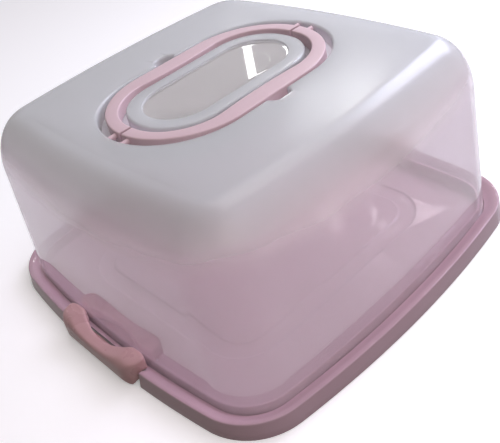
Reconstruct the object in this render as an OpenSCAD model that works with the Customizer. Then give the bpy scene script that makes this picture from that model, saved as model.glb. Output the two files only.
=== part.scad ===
// Cake carrier: pink tray, translucent domed lid that tilts open on its right-hand clip,
// two folding carry handles sunk in the lid, and a clip at each end.
// Millimetres, +Z up. Origin: centre of the underside. -X is the end with the opening clip,
// and X is also the long axis of the handle ring.

/* [Tray] */
// Half of the tray's side, measured at its foot in the middle of a side
tray_half = 150; // [135:1:165]
// Radius of the gentle outward bow of each side
tray_bow_r = 774; // [600:1:1200]
// Radius of the tray's corners at the foot
tray_corner_r = 46; // [42:1:50]
// Height of the rim
rim_h = 12; // [11.5:0.5:14]
// How far the rim leans in from its foot to its top edge
rim_lean = 2.2; // [1.6:0.1:2.6]
// Wall of the tray
tray_wall = 2; // [1.6:0.1:2.4]
// Height of the ledge where it meets the lid's foot
ledge_h = 7.2; // [6.8:0.1:8]
// Height of the tray's floor
floor_h = 3.2; // [3:0.1:4]
// Height of the lip that stands inside the lid's foot
lip_h = 12; // [10:0.5:14]
// Depth of the groove that the lid's foot stands in
foot_groove_d = 3; // [2:0.1:3.4]
// Outer half length of the groove pressed in the floor
floor_groove_x = 101.5; // [80:0.5:110]
// Outer half width of the groove pressed in the floor
floor_groove_y = 91; // [80:0.5:110]
// Corner radius of that groove
floor_groove_r = 33; // [25:1:40]
// Width of that groove
floor_groove_w = 11.5; // [6:0.5:16]
// Depth of that groove
floor_groove_d = 1; // [0.4:0.1:1.2]

/* [Lid] */
// Radius of the bow of the lid's sides at the foot
lid_bow_r = 904; // [700:1:1200]
// Width of the ledge between the tray's foot and the lid's foot
ledge_w = 13; // [12.6:0.1:14]
// Corner radius of the lid's walls
lid_corner_r = 36.5; // [35.5:0.5:38]
// Height of the lid's top above the table
lid_top = 139.5; // [125:0.5:170]
// Wall of the lid
lid_wall = 2.2; // [1.8:0.1:2.4]
// How far each side leans in below the rounded shoulder
lid_lean = 5.6; // [3:0.1:7]
// Reach of the rounded shoulder, sideways
shoulder_w = 27.5; // [24:0.5:29.5]
// Reach of the rounded shoulder, downwards
shoulder_h = 40.5; // [30:0.5:55]
// Clearance between the lid's foot and its groove in the tray
seat_gap = 0.4; // [0.3:0.05:0.5]

/* [Handles] */
// Half length of the handle ring
ring_half_l = 81.4; // [76:0.2:86]
// Half width of the handle ring
ring_half_w = 53.2; // [50:0.2:60]
// Width of the ring across its ends
ring_end_w = 9.4; // [8:0.2:10.4]
// Width of the ring along its sides, away from the swell of the grips
ring_side_w = 12.7; // [11:0.1:14]
// Extra width of each grip at its middle
grip_swell = 1.6; // [0.6:0.1:2.4]
// Height of a handle
handle_h = 9; // [8.8:0.1:11]
// Wall of a handle's channel section
handle_wall = 2.2; // [1.6:0.1:3]
// Gap between the two handles on the long axis
split_gap = 2.2; // [1:0.1:3]
// Distance of each pivot from the long axis
pivot_y = 6.5; // [6.3:0.1:7]
// Depth of the pivots under the lid's top
pivot_drop = 3.4; // [3.2:0.1:3.6]
// Radius of a handle's pivot pin
pivot_r = 1.8; // [1.4:0.1:2]
// Chamfer on the handles' top edges
handle_chamfer = 0.9; // [0.4:0.1:1.4]

/* [Well in the lid] */
// Clearance between a handle and the well round it, along the sides
well_gap = 1.8; // [1.2:0.1:4]
// Extra length of the well at each end of the ring
well_end_gap = 5.6; // [4:0.1:6]
// Clearance under the handles
well_under = 0.5; // [0.3:0.1:1]
// Clearance between the ring and the island inside it
island_gap = 4.5; // [4:0.1:6]
// How far the island's top lies below the lid's top
island_drop = 0.8; // [0:0.1:2]
// Width of the island's rim round the window
island_band = 10; // [8:0.5:14]
// Depth of the window below the island
window_d = 1.2; // [0.5:0.1:2]
// Radius of the half-round finger scoop beside each handle
scoop_r = 9.5; // [8:0.5:11]

/* [Clips] */
// Half length of a clip
clip_half = 43.5; // [42:0.5:48]
// How far a clip stands out past the tray's foot
clip_proud = 3.8; // [3.4:0.1:4.2]
// Height of the horns at a clip's ends
horn_h = 19.5; // [18:0.5:23]
// How far the middle of a clip's top dips below the horns
dip_h = 4.5; // [2:0.5:5]
// Half length of the finger opening behind a clip
dip_half = 28.5; // [26:0.5:30]
// Width of that opening at its middle, from the lid's foot
dip_w = 7.8; // [7:0.1:8.4]
// Height of a clip's hinge line
hinge_h = 7; // [6.8:0.1:7.2]
// Distance of the hinge line inside the tray's foot
hinge_in = 2.4; // [2:0.1:2.8]
// Radius of a clip's hinge pins
pin_r = 1.5; // [1.2:0.1:1.7]
// Wall of a clip
clip_wall = 2.4; // [2:0.1:2.4]
// Clearance round a clip in its notch
clip_gap = 0.6; // [0.4:0.1:1]
// Thickness of the tray's ears that hold a clip
ear_t = 3.2; // [2.4:0.1:4]
// Distance of each ear from the middle of its clip
ear_y = 31; // [28:0.5:32]

/* [Hidden] */

PINK = "#d9b7c0";
PINK_DARK = "#c8a3ad";
FROST = "#d6d8df";

run_gap = 0.06;                          // radial clearance of a turning pin
free_gap = 0.4;                          // clearance of faces that pass each other

// ---- outlines -------------------------------------------------------------

side_steps = 8;                          // straight stretches that draw one side's arc
corner_steps = 8;                        // straight stretches that draw one corner

// Points of an arc about centre c, from angle a0 to angle a1.
function arc(c, r, a0, a1, steps) =
    [for (i = [0:steps]) let (t = a0 + (a1 - a0) * i / steps) [c[0] + r * cos(t), c[1] + r * sin(t)]];

// Radius of the arc that rises by sag over a chord of half length half_chord.
function sag_radius(half_chord, sag) = (half_chord * half_chord + sag * sag) / (2 * sag);

// A point turned by quarter turns about the origin.
function turned(p, quarters) =
    [p[0] * cos(90 * quarters) - p[1] * sin(90 * quarters),
     p[0] * sin(90 * quarters) + p[1] * cos(90 * quarters)];

// A bowed square is four arcs of radius bow joined by four corner arcs of radius corner.
// corner_at gives the x, and the y, of a corner arc's centre.
function corner_at(half, bow, corner) =
    let (q = half - bow, k = bow - corner)
    (q + sqrt(2 * k * k - q * q)) / 2;

// Points of a bowed square.
function bowed_outline(half, bow, corner) =
    let (c = corner_at(half, bow, corner),
         a = atan2(c, c - half + bow),
         side = arc([half - bow, 0], bow, -a, a, side_steps),
         turn = arc([c, c], corner, a, 90 - a, corner_steps),
         quarter = concat(side, [for (i = [1:corner_steps - 1]) turn[i]]))
    [for (k = [0:3], p = quarter) turned(p, k)];

// Upright prism with that outline, pulled in by inset.
module bowed_prism(half, bow, corner, inset, z0, z1) {
    translate([0, 0, z0]) linear_extrude(z1 - z0)
        polygon(bowed_outline(half - inset, bow - inset, corner - inset));
}

// Solid with that outline, whose side follows profile, a list of [inset, z] points upwards. A
// third number in a point is the corners' radius there, which otherwise shrinks with the inset.
module bowed_solid(half, bow, corner, profile) {
    n = 4 * (side_steps + corner_steps);
    rows = len(profile);
    polyhedron(
        [for (p = profile)
            let (r = is_undef(p[2]) ? corner - p[0] : p[2])
            for (q = bowed_outline(half - p[0], bow - p[0], r)) [q[0], q[1], p[1]]],
        concat([[for (i = [0:n - 1]) i]],
               [[for (i = [n - 1:-1:0]) (rows - 1) * n + i]],
               [for (r = [0:rows - 2], i = [0:n - 1]) let (j = (i + 1) % n)
                   [r * n + j, r * n + i, (r + 1) * n + i, (r + 1) * n + j]]));
}

// Rounded rectangle prism, half sizes hx and hy, with an optional chamfer round its top edge.
module slab(hx, hy, r, z0, z1, chamfer = 0) {
    zc = z1 - chamfer;
    for (x = [-1, 1], y = hy > r ? [-1, 1] : [0])
        translate([x * (hx - r), y * (hy - r), 0]) rotate_extrude($fn = 120)
            polygon([[0, z0], [r, z0], [r, zc], [r - chamfer, z1], [0, z1]]);
    rotate([90, 0, 90]) linear_extrude(2 * (hx - r), center = true)
        polygon([[-hy, z0], [hy, z0], [hy, zc], [hy - chamfer, z1], [chamfer - hy, z1], [-hy, zc]]);
    if (hy > r) rotate([90, 0, 0]) linear_extrude(2 * (hy - r), center = true)
        polygon([[-hx, z0], [hx, z0], [hx, zc], [hx - chamfer, z1], [chamfer - hx, z1], [-hx, zc]]);
}

// ---- derived levels and places ---------------------------------------------

lid_half = tray_half - ledge_w;          // half of the lid's side at its foot
groove_floor = ledge_h - foot_groove_d;
lid_foot = groove_floor + 0.3;           // underside of the lid's foot
lid_inner_top = lid_top - lid_wall;
shoulder_z = lid_top - shoulder_h;       // where the rounded shoulder starts
handle_bottom = lid_top - handle_h;
hole_half_l = ring_half_l - ring_end_w;
hole_half_w = ring_half_w - ring_side_w;
hole_r = hole_half_w - 2.5;              // corner radius of the ring's opening
pivot_z = lid_top - pivot_drop;
well_floor = handle_bottom - well_under;
well_half_l = ring_half_l + well_end_gap;
well_half_w = ring_half_w + well_gap;
island_half_l = hole_half_l - island_gap;
island_half_w = hole_half_w - island_gap;
island_r = hole_r - island_gap;
island_top = lid_top - island_drop;
window_half_l = island_half_l - island_band;
window_half_w = island_half_w - island_band;
window_z = island_top - window_d;
hinge_x = tray_half - hinge_in;
clip_face = tray_half + clip_proud;
foot_r = hinge_h - free_gap;             // round foot of a clip, so that it turns above the table
notch_x = hinge_x - foot_r - clip_gap;   // back of the notch that a clip turns in
ear_r = 3.4;                             // round end of an ear, about the hinge line

// ---- tray -------------------------------------------------------------------

rim_top_in = 4.6;                        // inset of the inner end of the rim's flat top
ledge_in = ledge_w - 1.5;                // inset at which the ledge levels out
step_in = ledge_w + 0.8;                 // inset of the step up to the lip, inside the foot groove
lip_in = lid_wall + seat_gap + 0.6;      // inset of the lip, clear of the leaning wall of the lid

// Height of the sloping ledge at an inset from the tray's outline.
function ledge_z(inset) =
    rim_h - (inset - rim_top_in) / (ledge_in - rim_top_in) * (rim_h - ledge_h);

module tray_mass() {
    bowed_solid(tray_half, tray_bow_r, tray_corner_r,
        [[0, 0], [rim_lean - 0.5, rim_h - 2.4], [rim_lean - 0.1, rim_h - 1],
         [rim_lean + 0.8, rim_h - 0.2], [rim_lean + 1.8, rim_h], [rim_top_in, rim_h],
         [ledge_in, ledge_h], [step_in, ledge_h], [step_in, lip_h]]);
}

// Groove that the lid's foot stands in.
module foot_groove() {
    difference() {
        bowed_prism(lid_half, lid_bow_r, lid_corner_r, -seat_gap, groove_floor, lip_h + 1);
        bowed_prism(lid_half, lid_bow_r, lid_corner_r, lip_in, groove_floor - 1, lip_h + 2);
    }
}

// Room inside the lip, down to the floor.
module pan() {
    bowed_prism(lid_half, lid_bow_r, lid_corner_r, lip_in + tray_wall, floor_h, lip_h + 2);
}

// Hollow under the rim and the ledge, open below.
module rim_hollow() {
    hollow_in = ledge_w - seat_gap - tray_wall - 1.2;
    hollow_z = ledge_z(hollow_in) - tray_wall;
    difference() {
        bowed_solid(tray_half, tray_bow_r, tray_corner_r,
            [[tray_wall, -1], [rim_lean + tray_wall - 0.5, rim_h - tray_wall - 1],
             [rim_top_in + 0.6, rim_h - tray_wall - 0.4], [hollow_in, hollow_z]]);
        bowed_prism(tray_half, tray_bow_r, tray_corner_r, hollow_in, -2, rim_h);
    }
}

// Shallow hollow under the floor.
module floor_hollow() {
    bowed_prism(lid_half, lid_bow_r, lid_corner_r, lip_in + tray_wall + 2, -1, floor_h - tray_wall);
}

module floor_groove() {
    difference() {
        slab(floor_groove_x, floor_groove_y, floor_groove_r, floor_h - floor_groove_d, floor_h + 1);
        slab(floor_groove_x - floor_groove_w, floor_groove_y - floor_groove_w,
             floor_groove_r - floor_groove_w, 0, floor_h + 2);
    }
}

// Notch in the rim at the +X end that a clip sits in.
module clip_notch() {
    half = clip_half + clip_gap;
    translate([notch_x, -half, -1]) cube([tray_half - notch_x + 1, 2 * half, rim_h + 2]);
}

// Two ears at the +X end that a clip's pins turn in.
module clip_ears() {
    arm_bottom = hinge_h - 1.8;
    arm_x = lid_half + seat_gap + 1.2;   // inside the wall between the foot groove and the notch
    for (s = [-1, 1]) translate([0, s * ear_y, 0]) difference() {
        union() {
            translate([hinge_x, 0, hinge_h]) rotate([90, 0, 0])
                cylinder(r = ear_r, h = ear_t, center = true, $fn = 60);
            translate([arm_x, -ear_t / 2, arm_bottom]) cube([hinge_x - arm_x, ear_t, 2.2]);
        }
        translate([hinge_x, 0, hinge_h]) rotate([90, 0, 0])
            cylinder(r = pin_r + run_gap, h = ear_t + 1, center = true, $fn = 48);
    }
}

module base_tray() {
    color(PINK) {
        difference() {
            tray_mass();
            foot_groove();
            pan();
            rim_hollow();
            floor_hollow();
            floor_groove();
            clip_notch();
            rotate([0, 0, 180]) clip_notch();
        }
        clip_ears();
        rotate([0, 0, 180]) clip_ears();
    }
}

// ---- lid --------------------------------------------------------------------

// Half-round scoops beside the middle of each handle, for a finger.
module scoops(grow, z0) {
    for (s = [-1, 1]) translate([0, s * (ring_half_w + 0.8), z0])
        cylinder(r = scoop_r + grow, h = lid_top + 1 - z0, $fn = 96);
}

// Points of the lid's side, from the foot up over the rounded shoulder. inset is 0 for the
// outside and the wall for the inside. The walls' corners keep their radius up to the shoulder.
function lid_side(inset, z_foot, z_top) =
    concat([[inset, z_foot, lid_corner_r - inset]],
           [for (i = [0:9]) let (t = 10 * i, turn = (shoulder_w - inset) * (1 - cos(t)))
               [lid_lean + inset + turn, shoulder_z + (z_top - shoulder_z) * sin(t),
                lid_corner_r - inset - turn]]);

// Where the lid's wall stands at a height, in the middle of a side.
function lid_wall_x(z) = lid_half - lid_lean * (z - lid_foot) / (shoulder_z - lid_foot);

module lid_outer() {
    bowed_solid(lid_half, lid_bow_r, lid_corner_r, lid_side(0, lid_foot, lid_top));
}

module lid_inner() {
    bowed_solid(lid_half, lid_bow_r, lid_corner_r, lid_side(lid_wall, lid_foot - 1, lid_inner_top));
}

// What hangs below the lid's top: the walls of the well, and the blocks that hold the pins.
module well_walls() {
    slab(well_half_l + lid_wall, well_half_w + lid_wall, well_half_w + lid_wall,
         well_floor - lid_wall, lid_top + 1);
    scoops(lid_wall, well_floor - lid_wall);
    for (x = [-1, 1]) translate([x * (well_half_l + 1), 0, (well_floor + lid_inner_top) / 2])
        cube([2 * pin_reach + 2, 2 * pivot_y + 9, lid_inner_top - well_floor + 1], center = true);
}
pin_reach = 4;                           // depth of the pin bores beyond the well's end

module well() {
    difference() {
        union() {
            slab(well_half_l, well_half_w, well_half_w, well_floor, lid_top + 1);
            scoops(0, well_floor);
        }
        slab(island_half_l, island_half_w, island_r, well_floor - 1, lid_top + 2);
    }
}

// Hollow under the island, which leaves the plate round and under the window.
module island_hollow() {
    difference() {
        slab(island_half_l - lid_wall, island_half_w - lid_wall, island_r - lid_wall,
             well_floor - lid_wall - 1, island_top - lid_wall);
        slab(window_half_l + lid_wall, window_half_w + lid_wall, window_half_w + lid_wall,
             window_z - lid_wall, lid_top);
    }
}

module pivot_bores() {
    for (x = [-1, 1], y = [-1, 1])
        translate([x * (well_half_l + pin_reach / 2 - 1), y * pivot_y, pivot_z]) rotate([0, 90, 0])
            cylinder(r = pivot_r + run_gap, h = pin_reach + 2, center = true, $fn = 48);
}

module lid_dome() {
    color(FROST, 0.6) difference() {
        lid_outer();
        difference() {
            lid_inner();
            well_walls();
        }
        well();
        island_hollow();
        slab(island_half_l + 1, island_half_w + 1, island_r + 1, island_top, lid_top + 1);
        slab(window_half_l, window_half_w, window_half_w, window_z, lid_top + 1);
        pivot_bores();
    }
}

// ---- handles ----------------------------------------------------------------

// The opening in the ring. Its long sides swell inwards a little.
module ring_hole(inset, z0, z1) {
    swell_r = sag_radius(hole_half_l - hole_r, grip_swell);
    difference() {
        slab(hole_half_l + inset, hole_half_w + inset, hole_r + inset, z0, z1);
        for (s = [-1, 1])
            translate([0, s * (hole_half_w + inset + swell_r - grip_swell), z0 - 1])
                cylinder(r = swell_r, h = z1 - z0 + 2, $fn = 720);
    }
}

// Channel under the grip, open below, which stops short of the ends that hold the pins.
module grip_channel() {
    ring_w = ring_half_w - handle_wall;
    difference() {
        slab(ring_half_l - handle_wall, ring_w, ring_w, handle_bottom - 1, lid_top - handle_wall);
        ring_hole(handle_wall, handle_bottom - 2, lid_top);
        translate([-ring_half_l, -pivot_y - 7, handle_bottom - 2])
            cube([2 * ring_half_l, ring_half_w + 2 * pivot_y, handle_h + 4]);
    }
}

// What is kept of the ring on the handle's own side: up to the pivots, a round knuckle about
// them, and square above them up to the split.
module handle_side() {
    knuckle_r = pivot_y - split_gap / 2;
    translate([-ring_half_l - 1, -ring_half_w - 1, handle_bottom - 1])
        cube([2 * ring_half_l + 2, ring_half_w + 1 - pivot_y, handle_h + 2]);
    translate([0, -pivot_y, pivot_z]) rotate([0, 90, 0])
        cylinder(r = knuckle_r, h = 2 * ring_half_l + 2, center = true, $fn = 96);
    translate([-ring_half_l - 1, -pivot_y - 1, pivot_z])
        cube([2 * ring_half_l + 2, knuckle_r + 1, pivot_drop + 1]);
}

// The handle on the -Y side, lying flat. Its pins point outwards along X.
module handle() {
    intersection() {
        difference() {
            slab(ring_half_l, ring_half_w, ring_half_w, handle_bottom, lid_top, handle_chamfer);
            ring_hole(0, handle_bottom - 1, lid_top + 1);
            grip_channel();
        }
        handle_side();
    }
    for (x = [-1, 1]) translate([x * (ring_half_l - 3), -pivot_y, pivot_z]) rotate([0, x * 90, 0])
        cylinder(r = pivot_r, h = well_end_gap + pin_reach + 2.5, $fn = 48);
}

module front_handle() {
    color(PINK) handle();
}

module back_handle() {
    color(PINK) rotate([0, 0, 180]) handle();
}

// ---- clips ------------------------------------------------------------------

clip_top_r = 7;                          // round of a clip's outer shoulder
clip_end_r = 13;                         // round of a clip's ends, in plan
web_t = 1.6;                             // thickness of the web across a clip's foot
horn_gap = 0.6 - dip_half * dip_half / (2 * lid_bow_r);  // from the wall in mid side to a horn

// Section of a clip across its length: x outwards, y up.
module clip_section() {
    shoulder_x = clip_face - clip_top_r;
    neck_x = hinge_x - 3;
    under_z = ledge_z(tray_half - notch_x - clip_half * clip_half / (2 * tray_bow_r)) + free_gap;
    tip_z = ledge_h + free_gap + 0.7;
    top_z = horn_h - 1.6;
    polygon(concat(
        arc([hinge_x, hinge_h], foot_r, 297, 340, 5),
        arc([shoulder_x, horn_h - clip_top_r], clip_top_r, 0, 90, 10),
        [[lid_wall_x(top_z) + horn_gap + 1.2, horn_h], [lid_wall_x(top_z) + horn_gap, top_z],
         [lid_wall_x(tip_z) + horn_gap, tip_z], [notch_x, under_z], [neck_x, under_z],
         [neck_x, hinge_h]]));
}

// Plan of a clip: a long lens, full width at the rim and narrower at the lid.
module clip_plan(z0, z1) {
    end_x = clip_face - clip_end_r;
    end_y = clip_half - clip_end_r;
    tip_y = dip_half + 4;
    inner_x = lid_half - 3;
    translate([0, 0, z0]) linear_extrude(z1 - z0)
        polygon(concat([[inner_x, tip_y]],
                       arc([end_x, end_y], clip_end_r, 100, 0, 10),
                       arc([end_x, -end_y], clip_end_r, 0, -100, 10),
                       [[inner_x, -tip_y]]));
}

// Cylinder along Y about the hinge line at the +X end.
module on_hinge(r, h, y = 0) {
    translate([hinge_x, y, hinge_h]) rotate([90, 0, 0]) cylinder(r = r, h = h, center = true, $fn = 60);
}

// The clip at the +X end.
module clip() {
    dip_r = sag_radius(dip_half, dip_w);
    top_r = sag_radius(dip_half, dip_h);
    room_y = ear_y + ear_t / 2 + 1.2;
    wall_x = clip_face - clip_wall;
    difference() {
        union() {
            intersection() {
                rotate([90, 0, 0]) linear_extrude(2 * clip_half + 2, center = true) clip_section();
                clip_plan(-1, horn_h + 1);
            }
            for (s = [-1, 1]) on_hinge(ear_r, 6, s * (room_y + 2.5));
        }
        // finger opening behind the clip
        translate([lid_half + dip_w - dip_r, 0, -1]) cylinder(r = dip_r, h = horn_h + 2, $fn = 360);
        // dip along the top
        translate([clip_face, 0, horn_h - dip_h + top_r]) rotate([0, 90, 0])
            cylinder(r = top_r, h = 4 * clip_face, center = true, $fn = 720);
        // room for the ears
        on_hinge(ear_r + 0.6, 2 * room_y);
        translate([hinge_x - 0.4, -room_y, hinge_h])
            cube([wall_x - hinge_x + 0.4, 2 * room_y, horn_h - dip_h - clip_wall - hinge_h]);
        // room for the ears' arms when the clip is folded down
        translate([hinge_x - 4, -room_y, -1]) cube([6.4, 2 * room_y, hinge_h + 1]);
    }
    for (s = [-1, 1]) on_hinge(pin_r, ear_t + 3.2, s * (ear_y + 1));
    // web that floors the finger opening between the ears
    web_y = ear_y - ear_t / 2 - 1.2;
    intersection() {
        translate([notch_x, -web_y, hinge_h - web_t]) cube([wall_x + 0.2 - notch_x, 2 * web_y, web_t]);
        on_hinge(foot_r, 2 * web_y);
    }
}

module right_clip() {
    color(PINK_DARK) clip();
}

module left_clip() {
    color(PINK_DARK) rotate([0, 0, 180]) clip();
}

base_tray();
lid_dome();
front_handle();
back_handle();
left_clip();
right_clip();
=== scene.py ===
"""Looks of a cake carrier: pink tray, frosted and clear domed lid, folding carry ring, two clips.

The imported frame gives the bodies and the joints. Each sub-assembly is a class that makes its
smooth pieces in millimetres and hands them to the frame in metres.
"""

from __future__ import annotations

import logging
import math
from dataclasses import dataclass, replace
from enum import Enum

import bmesh
import bpy
import numpy as np
from mathutils import Matrix, Vector

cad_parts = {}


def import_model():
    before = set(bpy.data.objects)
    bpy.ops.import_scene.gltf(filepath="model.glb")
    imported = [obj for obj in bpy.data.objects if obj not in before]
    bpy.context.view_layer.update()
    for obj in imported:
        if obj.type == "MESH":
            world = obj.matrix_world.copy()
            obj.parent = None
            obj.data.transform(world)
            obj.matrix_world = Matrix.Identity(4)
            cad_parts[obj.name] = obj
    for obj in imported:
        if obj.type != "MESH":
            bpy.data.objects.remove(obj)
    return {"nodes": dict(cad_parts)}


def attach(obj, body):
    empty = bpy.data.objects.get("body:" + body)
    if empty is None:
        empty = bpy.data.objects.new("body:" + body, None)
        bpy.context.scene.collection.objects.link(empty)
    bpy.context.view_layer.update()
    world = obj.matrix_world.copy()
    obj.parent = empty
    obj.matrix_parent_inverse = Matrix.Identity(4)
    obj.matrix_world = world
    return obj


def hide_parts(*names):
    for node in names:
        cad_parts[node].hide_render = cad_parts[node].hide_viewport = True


LOG = logging.getLogger("cake_carrier")
MM = 0.001
STRAIGHT = 20000.0  # bow radius, in mm, that stands for a straight side
SOFT_BLEND = 3.0  # height, in mm, over which a piece's extra smoothing sets in
PIN_SIDES = 40  # sides of a pin
PIN_CHAMFER = 0.35  # chamfer of a pin's tip, in mm
RUN_GAP = 0.06  # radial clearance of a turning pin, in mm
PLASTIC_IOR = 1.49  # refractive index of polypropylene
LAMP_AIM = Vector((0, 0, 0.06))  # what every lamp points at, in metres

# ---- outlines -------------------------------------------------------------------------------


@dataclass(frozen=True)
class Outline:
    """A rounded rectangle about the origin whose sides may bow outwards, in mm.

    half_x and half_y are its reach in mid side, corner the radius of its corners and bow the
    radius of its sides. squeeze is how far the long sides bulge inwards over squeeze_half.
    """

    half_x: float
    half_y: float
    corner: float
    bow: float = STRAIGHT
    squeeze: float = 0.0
    squeeze_half: float = 34.0

    def inset(self, by: float, corner: float | None = None) -> "Outline":
        """The parallel outline that lies by mm further in, with its own corner radius if given."""
        bow = self.bow if self.bow >= STRAIGHT else self.bow - by
        return replace(
            self,
            half_x=self.half_x - by,
            half_y=self.half_y - by,
            corner=self.corner - by if corner is None else corner,
            bow=bow,
        )

    def corner_centre(self) -> tuple[float, float]:
        """Centre of the corner arc in the first quarter."""
        # it lies bow - corner away from the centres of both side arcs, (ax, 0) and (0, ay)
        ax, ay = self.half_x - self.bow, self.half_y - self.bow
        reach, span = self.bow - self.corner, math.hypot(ax, ay)
        off = math.sqrt(max(reach * reach - span * span / 4, 0.0)) / span
        return ax / 2 - ay * off, ay / 2 - ax * off

    def tangents(self) -> tuple[tuple[float, float], tuple[float, float]]:
        """Where the corner arc meets the side at +X and the side at +Y."""
        cx, cy = self.corner_centre()
        k = self.bow / (self.bow - self.corner)
        ax, ay = self.half_x - self.bow, self.half_y - self.bow
        return (ax + (cx - ax) * k, cy * k), (cx * k, ay + (cy - ay) * k)


def between(a: Outline, b: Outline, t: float) -> Outline:
    """An outline the share t of the way from a to b.

    Args:
        a: outline at t = 0.
        b: outline at t = 1.
        t: the share.

    Returns:
        The outline between them.
    """
    bend = (1 - t) / a.bow + t / b.bow

    def mid(p: float, q: float) -> float:
        """The value the share t of the way from p to q."""
        return p + (q - p) * t

    return Outline(
        mid(a.half_x, b.half_x), mid(a.half_y, b.half_y), mid(a.corner, b.corner), 1 / bend
    )


@dataclass(frozen=True)
class Station:
    """One ring of a lofted shell.

    outline is its shape, z its height in mm and scale shrinks it towards the centre. A scoop
    radius above zero adds a half-round bay of that radius in the middle of each long side.
    """

    outline: Outline
    z: float
    scale: float = 1.0
    scoop_y: float = 0.0
    scoop_r: float = 0.0


def fillet(
    outline: Outline, z: float, radius: float, turn: tuple[int, int, int, int], steps: int = 4
) -> list[Station]:
    """Rings of a rounded edge.

    Args:
        outline: the outline that the sharp edge would have.
        z: the height that the sharp edge would have.
        radius: radius of the round, in mm.
        turn: signs (in0, z0, in1, z1): the edge is reached from inset in0 * radius and height
            z0 * radius, and left at inset in1 * radius and height z1 * radius.
        steps: stretches along the round.

    Returns:
        The rings from one end of the round to the other.
    """
    in0, z0, in1, z1 = turn
    rings = []
    for i in range(steps + 1):
        a = math.radians(90 * i / steps)
        s, c = math.sin(a), math.cos(a)
        inset = in0 * radius * (1 - s) + in1 * radius * (1 - c)
        rise = z0 * radius * (1 - s) + z1 * radius * (1 - c)
        rings.append(Station(outline.inset(inset), z + rise))
    return rings


def with_scoop(rings: list[Station], y: float, radius: float) -> list[Station]:
    """The same rings with a half-round bay whose radius grows as the outline does.

    Args:
        rings: the rings.
        y: distance of the bay's centre from the X axis.
        radius: radius of the bay where the outline is the plain one.

    Returns:
        The rings with their bays.
    """
    plain = rings[-1].outline.half_y
    return [replace(r, scoop_y=y, scoop_r=radius + r.outline.half_y - plain) for r in rings]


# ---- node helpers ---------------------------------------------------------------------------


def add_node(
    tree: bpy.types.NodeTree, kind: str, settings: dict | None = None, inputs: dict | None = None
) -> bpy.types.Node:
    """Adds one node.

    Args:
        tree: the node tree.
        kind: the node's bl_idname.
        settings: its properties by name.
        inputs: its inputs by name or index, each a socket to link or a plain value.

    Returns:
        The new node.
    """
    node = tree.nodes.new(kind)
    for name, value in (settings or {}).items():
        setattr(node, name, value)
    for key, value in (inputs or {}).items():
        if isinstance(value, bpy.types.NodeSocket):
            tree.links.new(value, node.inputs[key])
        else:
            node.inputs[key].default_value = value
    return node


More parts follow.
